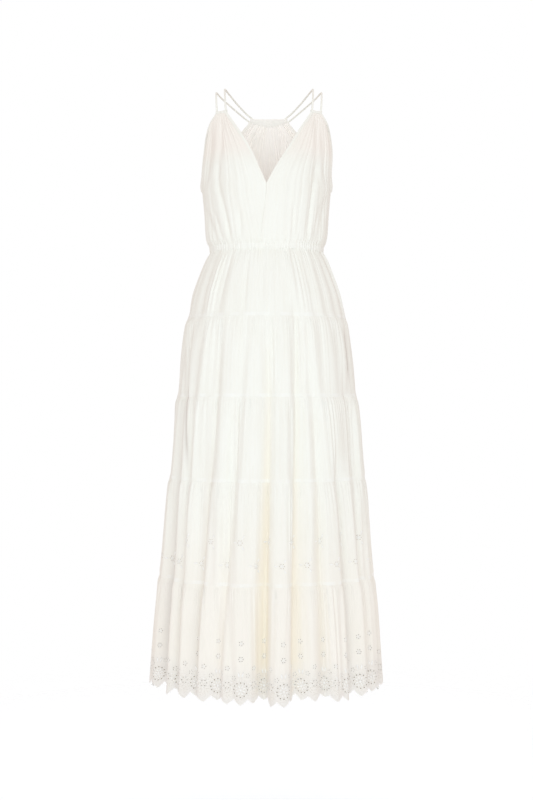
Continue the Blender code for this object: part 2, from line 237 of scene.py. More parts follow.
def crinkled(name, base=IVORY, shaded=IVORY_SHADE, relief=CLOTH_RELIEF, allowance=0.0, glow=0.0, top=None):
    """Two colours that follow long crinkles down the cloth, under a plain weave of fine threads.

    The cloth turns warmer towards the hem, a painted tint for the cool front light that is weaker
    lower down, and the top of the fronts may have a painted warm shade, where they turn up away from
    that light. The darker of the two colours is painted shade in the crinkles' hollows, mixed with
    random patches of tone. Painted shade deepens the colour in folds, warmed near the middle by painted
    light that comes through and greyer at the sides, and darkest in creases, where the hollow attribute
    passes 1. Where a seam allowance lies behind, it is denser and paler, in patches. A glow stands for
    light that comes through the cloth from behind.
    """
    constants = {"Roughness": 0.88, "Sheen Weight": 0.12, "Sheen Roughness": 0.5, "Specular IOR Level": 0.2}
    finish = Finish(name, constants)
    place = finish.node("ShaderNodeUVMap", {"uv_map": "cloth"}, {})
    long = finish.noise(place, (210.0, 11.0, 1.0))
    short = finish.noise(place, (430.0, 46.0, 1.0))
    slub = finish.noise(place, (1900.0, 60.0, 1.0), 1.0)
    threads = finish.noise(place, (60.0, 2300.0, 1.0), 1.0)
    patches = finish.noise(place, (9.0, 6.0, 1.0))
    spot = finish.node("ShaderNodeTexCoord", {}, {}, "Object")
    height = finish.along(spot, "Z")
    aside = finish.along(spot, "X").math("ABSOLUTE")
    # Painted warmth towards the hem, for the cool front light that is weaker lower down.
    ground = finish.colours(height.between(-0.85, -1.25), base, PAINTED_HEM_WARMTH)
    # Painted warm shade over the top of the fronts.
    if top:
        ground = finish.colours(height.between(-0.195, -0.140), ground, top)
    relieved = 0.62 * long + 0.28 * short + 0.05 * slub + 0.05 * threads
    finish.bump(relieved, relief)
    # Painted shade in the crinkles' hollows, mixed with random patches of tone.
    hollow = 1.0 - relieved.between(0.34, 0.60)
    toned = finish.colours(hollow * 0.30 + patches.between(0.4, 0.7) * 0.22, ground, shaded)
    # Painted shade in folds, by the hollow attribute: warm near the middle, grey at the sides.
    sunk = finish.node("ShaderNodeAttribute", {"attribute_name": "hollow"}, {}, "Fac")
    toned = finish.colours(sunk, toned, finish.colours(aside.between(0.08, 0.18), WARM_FOLD_SHADE, GREY_FOLD_SHADE))
    # Painted shade, darkest in sharp creases.
    toned = finish.colours(sunk.between(0.9, 1.7), toned, CREASE_SHADE_AND_STITCH)
    if allowance:
        shown = finish.noise(place, (38.0, 0.5, 1.0), 1.0).between(0.36, 0.62)
        above = finish.along(place, "Y").between(allowance - 0.0015, allowance + 0.0015)
        toned = finish.colours((1.0 - above) * shown * 0.5, toned, PALEST)
    finish.feed("Base Color", toned)
    if glow:
        finish.feed("Emission Color", toned)
        finish.surface.inputs["Emission Strength"].default_value = glow
    finish.feed("Roughness", 0.84 + 0.1 * short)
    return finish


def overlaid(finish, share, colour):
    """Lays one more colour over a finish, as far as the share says."""
    under = Shade(finish, finish.surface.inputs["Base Color"].links[0].from_socket)
    finish.feed("Base Color", finish.colours(share, under, colour))


cotton = crinkled("crinkled_cotton")


def edged(grid, share=0.06):
    """The grid with one more row close to its first row and one more close to its last."""
    first = grid[:1] + share * (grid[1:2] - grid[:1])
    last = grid[-1:] + share * (grid[-2:-1] - grid[-1:])
    return np.concatenate([grid[:1], first, grid[1:-1], last, grid[-1:]])


def measured(points):
    """The cloth's map: metres along the middle row, and metres up each column from its lower edge."""
    middle = points[len(points) // 2]
    across = np.concatenate([[0.0], np.cumsum(np.linalg.norm(np.diff(middle, axis=0), axis=-1))])
    steps = np.linalg.norm(np.diff(points, axis=0), axis=-1)
    up = np.cumsum(steps[::-1], axis=0)[::-1]
    up = np.vstack([up, 0.0 * up[:1]])
    return np.stack([across[None, :] + 0.0 * up, up], axis=-1)


def cloth_size(points):
    """The greatest width and length of a piece's cloth in metres, and its area."""
    widths = np.linalg.norm(np.diff(points, axis=1), axis=-1).sum(axis=1)
    lengths = np.linalg.norm(np.diff(points, axis=0), axis=-1).sum(axis=0)
    first = np.cross(points[1:, :-1] - points[:-1, :-1], points[1:, 1:] - points[:-1, :-1])
    second = np.cross(points[1:, 1:] - points[:-1, :-1], points[:-1, 1:] - points[:-1, :-1])
    area = (np.linalg.norm(first, axis=-1) + np.linalg.norm(second, axis=-1)).sum() / 2.0
    return widths.max(), lengths.max(), area


def cloth_piece(
    name, nodes, points, finish, thickness, closed=False, cloth_map=None, hollow=None
):
    """A wall of cloth over a grid of points, rows downwards and columns towards the viewer's right.

    It stands for the solids of its nodes. The map gives each point its place on the cloth in metres,
    and is measured on the points where none is given. A closed piece joins its last column to its
    first, and its map has one column more than its points. Narrow rows along the edges keep the
    shading flat up to them. Hollow is how deep each point lies in a fold, from 0 to 1, and more than 1
    in a sharp crease.
    """
    whole = np.concatenate([points, points[:, :1]], axis=1) if closed else points
    width, length, area = cloth_size(whole)
    cloth_map = measured(whole) if cloth_map is None else cloth_map
    hollow = np.zeros(points.shape[:2]) if hollow is None else hollow
    grids = [edged(grid) for grid in (points, cloth_map, hollow)]
    if not closed:
        grids = [edged(grid.swapaxes(0, 1)).swapaxes(0, 1) for grid in grids]
    points, cloth_map, hollow = grids
    rows, columns = points.shape[:2]
    index = np.arange(rows * columns).reshape(rows, columns)
    if closed:
        index = np.concatenate([index, index[:, :1]], axis=1)
    faces = np.stack([index[:-1, :-1], index[1:, :-1], index[1:, 1:], index[:-1, 1:]], axis=-1)
    mesh = bpy.data.meshes.new(name)
    mesh.from_pydata(points.reshape(-1, 3).tolist(), [], faces.reshape(-1, 4).tolist())
    layer = mesh.uv_layers.new(name="cloth")
    corners = (cloth_map[:-1, :-1], cloth_map[1:, :-1], cloth_map[1:, 1:], cloth_map[:-1, 1:])
    layer.data.foreach_set("uv", np.stack(corners, axis=2).astype(np.float32).ravel())
    depth = mesh.attributes.new("hollow", "FLOAT", "POINT")
    depth.data.foreach_set("value", hollow.astype(np.float32).ravel())
    mesh.materials.append(finish.material)
    mesh.shade_smooth()
    piece = bpy.data.objects.new(name, mesh)
    scene.collection.objects.link(piece)
    wall = piece.modifiers.new("cloth thickness", "SOLIDIFY")
    wall.thickness = thickness
    wall.offset = 0.0
    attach(piece, "root")
    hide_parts(*nodes)
    return piece


# The worn form. The dress keeps the round of a body at the bust, in at the waist and out over the
# skirt: each row is a height with its half width, front depth and back depth.
FORM = np.array([
    (0.000, 0.150, 0.092, 0.098),
    (-0.069, 0.152, 0.098, 0.103),
    (-0.110, 0.153, 0.108, 0.107),
    (-0.160, 0.152, 0.119, 0.108),
    (-0.200, 0.150, 0.126, 0.107),
    (-0.236, 0.147, 0.125, 0.104),
    (-0.290, 0.142, 0.117, 0.101),
    (-0.335, 0.139, 0.113, 0.101),
    (-0.352, 0.136, 0.110, 0.101),
    (-0.364, 0.130, 0.105, 0.099),
    (-0.376, 0.129, 0.104, 0.099),
    (-0.390, 0.136, 0.110, 0.107),
    (-0.430, 0.153, 0.123, 0.123),
    (-0.475, 0.169, 0.135, 0.137),
    (-0.528, 0.182, 0.146, 0.147),
    (-0.542, 0.187, 0.150, 0.151),
    (-0.620, 0.199, 0.160, 0.161),
    (-0.706, 0.207, 0.166, 0.167),
    (-0.720, 0.211, 0.169, 0.170),
    (-0.892, 0.226, 0.181, 0.182),
    (-0.908, 0.2295, 0.184, 0.185),
    (-1.115, 0.248, 0.198, 0.199),
    (-1.131, 0.252, 0.201, 0.202),
    (-1.364, 0.268, 0.214, 0.215),
])


def ease(share):
    """Runs smoothly from 0 to 1 while the share does."""
    share = np.clip(share, 0.0, 1.0)
    return share * share * (3.0 - 2.0 * share)


def smooth_column(place, known, values):
    """A cubic through known values that never swings past them: the slope at each is the harmonic
    mean of the slopes beside it, or none where these turn."""
    order = np.argsort(known)
    known = known[order]
    values = values[order]
    gap = np.diff(known)
    rise = np.diff(values) / gap
    product = rise[:-1] * rise[1:]
    total = rise[:-1] + rise[1:]
    inner = np.where(product > 0.0, 2.0 * product / np.where(product > 0.0, total, 1.0), 0.0)
    slope = np.concatenate([rise[:1], inner, rise[-1:]])
    place = np.clip(place, known[0], known[-1])
    first = np.clip(np.searchsorted(known, place) - 1, 0, len(gap) - 1)
    width = gap[first]
    part = (place - known[first]) / width
    flat = ease(part)
    lead = part * (1.0 - part) ** 2 * width * slope[first]
    trail = part ** 2 * (1.0 - part) * width * slope[first + 1]
    return values[first] * (1.0 - flat) + values[first + 1] * flat + lead - trail


def section(height):
    """Half width, front depth and back depth of the form at a height."""
    return [smooth_column(height, FORM[:, 0], FORM[:, column]) for column in (1, 2, 3)]


def on_form(angle, height, outwards=0.0):
    """Points at an angle in degrees and a height, moved outwards square to the oval section. Angles
    run from the front centre, positive towards the viewer's right."""
    half_width, front, back = section(height)
    turn = np.radians(angle)
    depth = np.where(np.cos(turn) > 0.0, front, back)
    across = np.sin(turn) / half_width
    along = -np.cos(turn) / depth
    length = np.hypot(across, along)
    x = half_width * np.sin(turn) + outwards * across / length
    y = -depth * np.cos(turn) + outwards * along / length
    return np.stack(np.broadcast_arrays(x, y, height), axis=-1)


LEAN = 0.004
LEAN_ABOVE = 0.0015


def leaning(points):
    """The points moved to the viewer's right as the upper part hangs: by one measure at the top of the
    armholes, and a little more at the straps."""
    height = points[..., 2:]
    lean = LEAN * ease((height + 0.210) / 0.070) + LEAN_ABOVE * ease((height + 0.120) / 0.060)
    return points + lean * np.array([1.0, 0.0, 0.0])


def wander(share, slow, fast, seed):
    """Smooth unevenness that closes on itself as the share runs from 0 to 1: a sum of waves with slow
    to fast turns and phases drawn by the seed, about 1 high."""
    turns = np.arange(slow, fast + 1)
    draw = np.random.default_rng(seed)
    phase = draw.uniform(0.0, 2.0 * np.pi, len(turns))
    weight = draw.uniform(0.5, 1.0, len(turns))
    weight = weight / np.sqrt((weight ** 2).sum() / 2.0) * 0.7
    waves = np.cos(2.0 * np.pi * turns * np.asarray(share)[..., None] + phase)
    return waves @ weight


def gathers(share, count, seed, keen=1.4):
    """Rounded ridges between narrow troughs, between -1 and 1: count of them while the share runs from
    0 to 1, with spacing and height both uneven."""
    turn = count * share + 0.55 * wander(share, 3, max(6, count // 3), seed)
    ridge = (0.5 + 0.5 * np.cos(2.0 * np.pi * turn)) ** (1.0 / keen)
    height = 0.72 + 0.28 * np.clip(wander(share, 2, max(5, count // 2), seed + 1), -1.2, 1.2)
    return (2.0 * ridge - 1.0) * height


WAIST_PLEATS = 92
PLEAT_HEIGHT = 0.0013
BODICE_PLEAT_FADE = 0.018


def waist_pleats(angle):
    """The short pleats that the elastic makes, the same in the bodice, the casing and the skirt."""
    return gathers(np.asarray(angle) / 360.0, WAIST_PLEATS, 401)


# Fronts. Each front is one panel from its narrow gathered top to the waist. They wrap: the viewer's
# right one lies over the left one from the point of the neck down, and is sewn there.
FRONT_TOP = -0.069
NECK_POINT = -0.236
UNDERARM = -0.236
WAIST_TOP = -0.364
TUCK = 0.0010
NECK_HALF_WIDTH = 0.094
LAP_OVER = 0.012
LAP_UNDER = 0.020
LAP_ANGLE = 11.0
LAP_FADE_ANGLE = 12.0
LAP_FADE_HEIGHT = 0.060
LAP_LIFT = 0.0007
FRONT_ROWS = 78
FRONT_COLUMNS = 150
# Painted warm shade for the top of the fronts, which turn up away from the front light.
PAINTED_TOP_SHADE = (0.94, 0.89, 0.84, 1.0)
ARMHOLES = np.array([
    (-0.062, 48.0, 16.8),
    (-0.069, 51.5, 19.0),
    (-0.090, 61.0, 26.0),
    (-0.120, 68.0, 35.0),
    (-0.155, 74.0, 44.5),
    (-0.195, 79.5, 56.0),
    (-0.227, 86.5, 77.0),
    (-0.236, 90.0, 90.0),
    (-0.364, 90.0, 90.0),
])


def neck_angle(height, over, bow):
    """Angle of the wrap edge: nearly straight to the neck point, bowed in a little, then past the
    centre line to the waist."""
    half_width = section(height)[0]
    share = np.clip((height - NECK_POINT) / (FRONT_TOP - NECK_POINT), 0.0, 1.0)
    above = NECK_HALF_WIDTH * share - bow * np.sin(np.pi * share)
    lap = LAP_OVER if over else LAP_UNDER
    below = -lap * ease((NECK_POINT - height) / (NECK_POINT - WAIST_TOP))
    return np.degrees(np.arcsin(np.where(height > NECK_POINT, above, below) / half_width))


def lapped(angle, height):
    """1 near the centre line, where one front lies on the other, and 0 away from it."""
    near = 1.0 - ease((np.abs(angle) - LAP_ANGLE) / LAP_FADE_ANGLE)
    low = 1.0 - ease((height - NECK_POINT) / LAP_FADE_HEIGHT)
    return near * low


def creases(points, rows):
    """How far soft creases sink: each is a straight trough seen from the front or back, from one end's
    x and z to the other's, with its half width and depth, thinning out towards both ends."""
    sunk = 0.0
    for x0, z0, x1, z1, half_width, depth in rows:
        run = np.array([x1 - x0, z1 - z0])
        length = np.hypot(*run)
        run = run / length
        x = points[..., 0] - x0
        z = points[..., 2] - z0
        along = (x * run[0] + z * run[1]) / length
        aside = x * run[1] - z * run[0]
        ends = ease(along / 0.35 + 0.4) * ease((1.0 - along) / 0.35 + 0.4)
        sunk = sunk + depth * ends * np.exp(-(aside / half_width) ** 2)
    return sunk


def front_points(over, side, bow, seed, troughs):
    """One front as rows from its top edge to the waist and columns from the wrap edge to the side.

    Fine gathers run down from the band and fade over the bust, others rise from the waist, and a few
    long troughs are placed one by one.
    """
    height = np.linspace(FRONT_TOP + 0.0008, WAIST_TOP - TUCK, FRONT_ROWS)[:, None]
    share = np.linspace(0.0, 1.0, FRONT_COLUMNS + 1)[None, :]
    inner = neck_angle(height, over, bow)
    outer = smooth_column(height, ARMHOLES[:, 0], ARMHOLES[:, 1])
    angle = inner + (outer - inner) * share
    height, share = np.broadcast_arrays(height, share)
    edge = ease(share / 0.06) * ease((1.0 - share) / 0.06)
    below_top = FRONT_TOP - height
    above_waist = height - WAIST_TOP
    from_band = ease(below_top / 0.006) * np.exp(-below_top / 0.032)
    rising = ease(above_waist / 0.020) * np.exp(-above_waist / 0.060)
    slow = ease(below_top / 0.05) * ease(above_waist / 0.03)
    outwards = 0.0011 * from_band * gathers(share, 9, seed)
    outwards += 0.0017 * rising * gathers(share, 8, seed + 5) * (0.4 + 0.6 * share)
    outwards += 0.0008 * slow * gathers(share, 4, seed + 7)
    outwards = outwards * edge
    outwards += PLEAT_HEIGHT * np.exp(-above_waist / BODICE_PLEAT_FADE) * waist_pleats(side * angle)
    plain = on_form(angle, height)
    plain[..., 0] *= side
    outwards -= creases(plain, troughs) * edge
    flare = np.exp(-((height - UNDERARM - 0.010) / 0.016) ** 2) * ease((share - 0.90) / 0.10)
    outwards += 0.0034 * flare * (height > UNDERARM)
    lap = lapped(angle, height)
    lift = LAP_LIFT if over else -LAP_LIFT
    points = on_form(angle, height, outwards * (1.0 - 0.6 * lap) + lift * lap)
    points[..., 0] *= side
    return leaning(points if side > 0.0 else points[:, ::-1])


RIGHT_TROUGHS = (
    (0.108, -0.076, 0.112, -0.215, 0.0070, 0.0036),
    (0.112, -0.190, 0.105, -0.245, 0.0065, 0.0034),
    (0.106, -0.230, 0.090, -0.350, 0.0050, 0.0044),
    (0.122, -0.110, 0.131, -0.215, 0.0060, 0.0030),
    (0.137, -0.250, 0.112, -0.362, 0.0055, 0.0042),
    (0.124, -0.270, 0.103, -0.360, 0.0045, 0.0030),
    (0.060, -0.280, 0.0586, -0.360, 0.0035, 0.0022),
    (0.030, -0.300, 0.028, -0.360, 0.0040, 0.0014),
)
LEFT_TROUGHS = (
    (-0.104, -0.084, -0.110, -0.215, 0.0065, 0.0032),
    (-0.110, -0.190, -0.107, -0.250, 0.0060, 0.0032),
    (-0.108, -0.235, -0.079, -0.358, 0.0050, 0.0046),
    (-0.128, -0.100, -0.134, -0.225, 0.0065, 0.0042),
    (-0.134, -0.285, -0.112, -0.364, 0.0055, 0.0040),
    (-0.118, -0.290, -0.096, -0.362, 0.0045, 0.0032),
    (-0.060, -0.290, -0.056, -0.358, 0.0040, 0.0020),
    (-0.022, -0.300, -0.024, -0.360, 0.0040, 0.0012),
)
front_cotton = crinkled("front_cotton", relief=FINE_RELIEF, top=PAINTED_TOP_SHADE)
fronts = {}
for name, over, side, bow, seed, troughs in (
    ("right", True, 1.0, 0.002, 11, RIGHT_TROUGHS),
    ("left", False, -1.0, 0.0065, 31, LEFT_TROUGHS),
):
    points = front_points(over, side, bow, seed, troughs)
    cloth_piece(f"{name}_front_cloth", [f"front_{name}"], points, front_cotton, CLOTH)
    fronts[name] = points


# Back. One panel, gathered into its band between the shoulder blades and again at the waist, and
# sewn to both fronts below the arms.
BAND_TOP = -0.044
BAND_BOTTOM = -0.062
BAND_END_HEIGHT = 0.0065
BAND_HALF_ANGLE = 16.8
BACK_ROWS = 70
BACK_COLUMNS = 200
BACK_TROUGHS = (
    (-0.024, -0.070, -0.022, -0.190, 0.0060, 0.0042),
    (0.030, -0.070, 0.034, -0.165, 0.0060, 0.0040),
    (0.004, -0.085, 0.006, -0.220, 0.0090, 0.0022),
    (-0.070, -0.354, -0.086, -0.262, 0.0065, 0.0046),
    (-0.020, -0.356, -0.024, -0.280, 0.0060, 0.0040),
    (0.038, -0.356, 0.044, -0.258, 0.0065, 0.0046),
    (0.096, -0.352, 0.106, -0.290, 0.0060, 0.0038),
)


def band_bottom(aside):
    """Lower edge of the back band by the angle from the back centre: narrow ends, sagging middle."""
    rise = BAND_TOP - BAND_END_HEIGHT - BAND_BOTTOM
    return BAND_BOTTOM + rise * np.minimum(1.0, (aside / BAND_HALF_ANGLE) ** 2)


def back_points():
    """The back as rows from the band to the waist and columns from one side seam to the other."""
    share = np.linspace(0.0, 1.0, BACK_COLUMNS + 1)[None, :]
    down = np.linspace(0.0, 1.0, BACK_ROWS)[:, None]
    start = band_bottom(BAND_HALF_ANGLE * (2.0 * share - 1.0)) + TUCK
    height = start + (WAIST_TOP - TUCK - start) * down
    level = np.linspace(BAND_BOTTOM, WAIST_TOP, BACK_ROWS)[:, None]
    spread = smooth_column(level, ARMHOLES[:, 0], ARMHOLES[:, 2])
    spread = spread + 1.2 * ease((UNDERARM - level) / 0.010)
    angle = 180.0 + spread * (2.0 * share - 1.0)
    share = share + 0.0 * angle
    edge = ease(share / 0.03) * ease((1.0 - share) / 0.03)
    below_top = start - height
    above_waist = height - WAIST_TOP
    from_band = ease(below_top / 0.006) * np.exp(-below_top / 0.055)
    rising = ease(above_waist / 0.020) * np.exp(-above_waist / 0.070)
    slow = ease(below_top / 0.05) * ease(above_waist / 0.03)
    outwards = 0.0021 * from_band * gathers(share, 17, 51)
    outwards += 0.0024 * rising * gathers(share, 17, 55)
    outwards += 0.0012 * slow * gathers(share, 9, 57)
    outwards = outwards * edge - creases(on_form(angle, height), BACK_TROUGHS) * edge
    outwards += PLEAT_HEIGHT * np.exp(-above_waist / BODICE_PLEAT_FADE) * waist_pleats(angle)
    tucked = (1.0 - edge) * ease((UNDERARM - height) / 0.010)
    return leaning(on_form(angle, height, outwards - 0.0011 * tucked))


back = back_points()
back_piece = cloth_piece("back_cloth", ["back"], back, cotton, CLOTH)
# The inside wall of the back, of a warmer tone, with a painted glow for light that comes through it from
# behind.
inner_cotton = crinkled("cotton_seen_from_inside", (0.93, 0.89, 0.86, 1.0), relief=FINE_RELIEF, glow=0.12)
back_piece.data.materials.append(inner_cotton.material)
back_piece.modifiers["cloth thickness"].material_offset = 1


# Bindings. Bias strips of the same cloth are folded over the neck and armhole edges and stitched
# down, which leaves a flat border that is a little denser than the cloth.
TRIM = (0.93, 0.925, 0.875, 1.0)
TRIM_SHADE = (0.87, 0.845, 0.78, 1.0)
TRIM_BEHIND = (0.93, 0.905, 0.87, 1.0)
trim = crinkled("bound_cotton", TRIM, TRIM_SHADE, FINE_RELIEF)
# The back band and bindings seen from inside, with a painted glow for light that comes through the cloth.
trim_behind = crinkled("bound_cotton_behind", TRIM_BEHIND, relief=FINE_RELIEF, glow=0.07)
BINDING_WIDTH = 0.006
BINDING_HALF_THICKNESS = 0.0006
BINDING_CLOTH = 0.0004


def unit(vectors):
    """Vectors of the same directions, each 1 long."""
    return vectors / np.maximum(np.linalg.norm(vectors, axis=-1, keepdims=True), 1e-12)


def normals_of(points):
    """Unit normals of a grid of points: down each column crossed with along each row, turned out."""
    return unit(np.cross(np.gradient(points, axis=0), np.gradient(points, axis=1)))


def folded_strip(edge, inwards, outwards, width, half):
    """A strip folded over an edge: down one face, round the edge and down the other, in nine steps.

    Its section runs from the outer face, a width in from the edge, to the same place inside.
    """
    turn = np.radians(np.array([90.0, 90.0, 90.0, 50.0, 0.0, -50.0, -90.0, -90.0, -90.0]))
    reach = np.array([width, 0.5 * width, half, 0.0, 0.0, 0.0, half, 0.5 * width, width])
    away = np.where(reach > 0.0, reach, -half * (np.cos(turn) - 0.3))
    return (
        edge[:, None]
        + inwards[:, None] * away[None, :, None]
        + outwards[:, None] * (half * np.sin(turn))[None, :, None]
    )


def bind(name, points, column, inner, rows, node, finish):
    """Binds one edge of a panel: the column at the edge, and one a little way in to give direction."""
    edge = points[rows, column]
    inwards = unit(points[rows, inner] - edge)
    outwards = normals_of(points)[rows, column]
    strip = folded_strip(edge, inwards, outwards, BINDING_WIDTH, BINDING_HALF_THICKNESS)
    strip = strip if column == -1 else strip[:, ::-1]
    cloth_piece(name, [node], strip, finish, BINDING_CLOTH)


right_front = fronts["right"]
left_front = fronts["left"]
all_rows = np.arange(FRONT_ROWS)
neck_rows = np.nonzero(left_front[:, -1, 2] > NECK_POINT)[0]
arm_rows = np.nonzero(left_front[:, 0, 2] >= UNDERARM)[0]
back_rows = np.nonzero(back[:, 0, 2] >= UNDERARM)[0]
bind("neck_edge_right", right_front, 0, 6, all_rows, "neck_binding_right", trim)
bind("neck_edge_left", left_front, -1, -7, neck_rows, "neck_binding_left", trim)
bind("armhole_edge_front_right", right_front, -1, -7, arm_rows, "armhole_binding_front_right", trim)
bind("armhole_edge_front_left", left_front, 0, 6, arm_rows, "armhole_binding_front_left", trim)
bind("armhole_edge_back_right", back, 0, 6, back_rows, "armhole_binding_back_right", trim_behind)
bind("armhole_edge_back_left", back, -1, -7, back_rows, "armhole_binding_back_left", trim_behind)


# Bands. A folded strip holds the gathers at the top of each front, where its two straps are sewn in,
# and a wider one holds the top of the back.
def band_points(angles, top, bottom, half, waves, seed):
    """A flat ring of cloth stood on edge: an oval section, ruched a little by the gathers it holds."""
    turn = np.linspace(0.0, 2.0 * np.pi, 21)[:, None]
    middle = (top + bottom)[None, :] / 2.0
    tall = (top - bottom)[None, :] / 2.0
    share = np.linspace(0.0, 1.0, len(angles))[None, :]
    ruche = 1.0 + 0.28 * gathers(share, waves, seed)
    rounded = np.sign(np.sin(turn)) * np.abs(np.sin(turn)) ** 0.7
    outwards = half * ruche * np.sign(np.cos(turn)) * np.abs(np.cos(turn)) ** 0.6
    return leaning(on_form(angles[None, :] + 0.0 * turn, middle + tall * rounded, outwards))


BAND_CLOTH = 0.0005
half_width_at_top = section(np.array(FRONT_TOP))[0]
band_inner = np.degrees(np.arcsin(NECK_HALF_WIDTH / half_width_at_top))
band_outer = ARMHOLES[1, 1]
front_angles = np.linspace(band_inner, band_outer, 49)
back_angles = np.linspace(180.0 - BAND_HALF_ANGLE, 180.0 + BAND_HALF_ANGLE, 97)
front_top = -0.0630 - 0.0016 * np.sin(np.pi * np.linspace(0.0, 1.0, 49))
back_bottom = band_bottom(back_angles - 180.0)
for name, angles, top, bottom, half, waves, seed, finish in (
    ("front_band{}_right", front_angles, front_top, -0.0695, 0.0014, 9, 71, trim),
    ("front_band{}_left", -front_angles[::-1], front_top, -0.0695, 0.0014, 9, 73, trim),
    ("back_band{}", back_angles, BAND_TOP, back_bottom, 0.0013, 17, 75, trim_behind),
):
    node = name.format("")
    points = band_points(angles, top + 0.0 * angles, bottom + 0.0 * angles, half, waves, seed)[::-1]
    cloth_piece(name.format("_folded"), [node], points, finish, BAND_CLOTH)


# Straps. Two narrow tubes of the same cloth on each shoulder, turned through and pressed by their own
# seam, run from each front band over the shoulder to a corner of the back band.
STRAP_RADIUS = 0.0018
INNER_STRAP = (
    (0.0965, -0.0757, -0.0660),
    (0.0985, -0.0690, -0.0400),
    (0.0998, -0.0450, -0.0130),
    (0.0997, -0.0080, -0.0018),
    (0.0910, 0.0320, -0.0040),
    (0.0735, 0.0700, -0.0170),
    (0.0546, 0.0930, -0.0320),
    (0.0380, 0.1010, -0.0440),
)
OUTER_STRAP = (
    (0.1170, -0.0615, -0.0660),
    (0.1185, -0.0570, -0.0420),
    (0.1196, -0.0380, -0.0190),
    (0.1190, -0.0050, -0.0090),
    (0.1092, 0.0330, -0.0120),
    (0.0870, 0.0690, -0.0240),
    (0.0635, 0.0920, -0.0390),
    (0.0450, 0.1000, -0.0520),
)


def smooth_route(points, count):
    """Points along a smooth curve through a route's own points, each coordinate by its own cubic."""
    points = np.array(points)
    before = np.vstack([2.0 * points[0] - points[1], points, 2.0 * points[-1] - points[-2]])
    step = np.linspace(0.0, len(points) - 1.0, count)
    first = np.minimum(step.astype(int), len(points) - 2)
    part = (step - first)[:, None]
    a, b, c, d = (before[first + shift] for shift in range(4))
    bend = (2.0 * a - 5.0 * b + 4.0 * c - d) * part ** 2 + (3.0 * (b - c) + d - a) * part ** 3
    return b + 0.5 * ((c - a) * part + bend)


def tube_points(route, radius, around):
    """A round section carried along a route, kept level with the shoulder's own direction, x."""
    ahead = unit(np.gradient(route, axis=0))
    side = unit(np.array([1.0, 0.0, 0.0]) - ahead * ahead[:, :1])
    other = np.cross(ahead, side)
    turn = round_turn(around)[None, :, None]
    return route[:, None] + radius * (side[:, None] * np.cos(turn) + other[:, None] * np.sin(turn))


for which, route in (("inner", INNER_STRAP), ("outer", OUTER_STRAP)):
    for name, side in (("right", 1.0), ("left", -1.0)):
        line = leaning(smooth_route(route, 90) * np.array([side, 1.0, 1.0]))
        points = tube_points(line, STRAP_RADIUS, 12)
        node = f"{which}_strap_{name}"
        tube = f"{which}_strap_tube_{name}"
        cloth_piece(tube, [node], points, trim, BINDING_CLOTH, True)


# Waist casing. A ring of doubled cloth with elastic inside, which pulls it into many short ruches, and
# which joins the bodice to the skirt.
WAIST_BOTTOM = -0.3755
CASING_CLOTH = 0.0012
waist_share = np.linspace(0.0, 1.0, 720, endpoint=False)[None, :]
waist_drop = np.linspace(0.0, 1.0, 7)[:, None]
waist_height = WAIST_TOP + (WAIST_BOTTOM - WAIST_TOP) * waist_drop + 0.0 * waist_share
waist_angle = 360.0 * waist_share - 180.0
waist_belly = 0.0004 * np.sin(np.pi * waist_drop)
waist_ruche = 0.0010 * waist_pleats(waist_angle) + 0.0003 * gathers(waist_share, 190, 91)
waist = on_form(waist_angle, waist_height, waist_belly + waist_ruche)
casing_cotton = crinkled("casing_cotton", (0.94, 0.94, 0.90, 1.0), relief=FINE_RELIEF)
casing = "waist_casing_ruched"
cloth_piece(casing, ["waist_casing"], waist, casing_cotton, CASING_CLOTH, True)


# Tiers. Five strips of cloth, each wider than the one above, are gathered at the top edge and sewn to
# it. Fine gathers stand under each seam and melt into the long folds that the whole skirt hangs in.
HEM = -1.364
FOLD_ONSET = 0.12
FOLD_SHARE_AT_WAIST = 0.35
FULL_HOLLOW = 0.026
CREASE_HOLLOW = 800.0
FOLDS = (
    (-80.0, -82.0, 0.022, 4.5, -0.46, 1),
    (-67.0, -63.0, 0.036, 7.0, -0.52, 1),
    (-50.0, -50.0, 0.020, 4.0, -0.66, 1),
    (-31.0, -37.0, 0.023, 4.0, -0.50, 1),
    (-13.0, -23.0, 0.016, 4.0, -0.50, 1),
    (2.5, -1.0, 0.031, 4.5, -0.50, 1),
    (21.0, 13.0, 0.027, 4.0, -0.44, -1),
    (30.0, 30.0, 0.022, 4.0, -0.60, 1),
    (44.0, 46.0, 0.023, 4.5, -0.80, -1),
    (59.0, 60.0, 0.019, 4.0, -0.60, -1),
    (74.0, 76.0, 0.028, 4.5, -0.50, -1),
    (92.0, 93.0, 0.016, 4.0, -0.66, 1),
    (106.0, 108.0, 0.026, 4.5, -0.48, -1),
    (122.0, 124.0, 0.020, 4.5, -0.60, -1),
    (137.0, 140.0, 0.027, 4.5, -0.46, 1),
    (153.0, 154.0, 0.018, 4.0, -0.74, 1),
    (168.0, 170.0, 0.028, 4.5, -0.48, -1),
    (184.0, 186.0, 0.022, 4.5, -0.56, 1),
    (200.0, 201.0, 0.026, 4.5, -0.46, 1),
    (217.0, 216.0, 0.018, 4.0, -0.70, -1),
    (233.0, 231.0, 0.027, 4.5, -0.50, -1),
    (249.0, 247.0, 0.021, 4.5, -0.58, 1),
    (264.0, 263.0, 0.025, 4.0, -0.48, 1),
)
CREASES = (
    (68.0, -0.545, 67.0, -0.670, 0.0022, 1.2),
    (-62.0, -0.570, -54.0, -0.885, 0.0017, 1.1),
    (112.0, -0.600, 108.0, -0.740, 0.0018, 1.2),
    (160.0, -0.560, 163.0, -0.760, 0.0016, 1.1),
    (241.0, -0.540, 238.0, -0.690, 0.0019, 1.2),
)


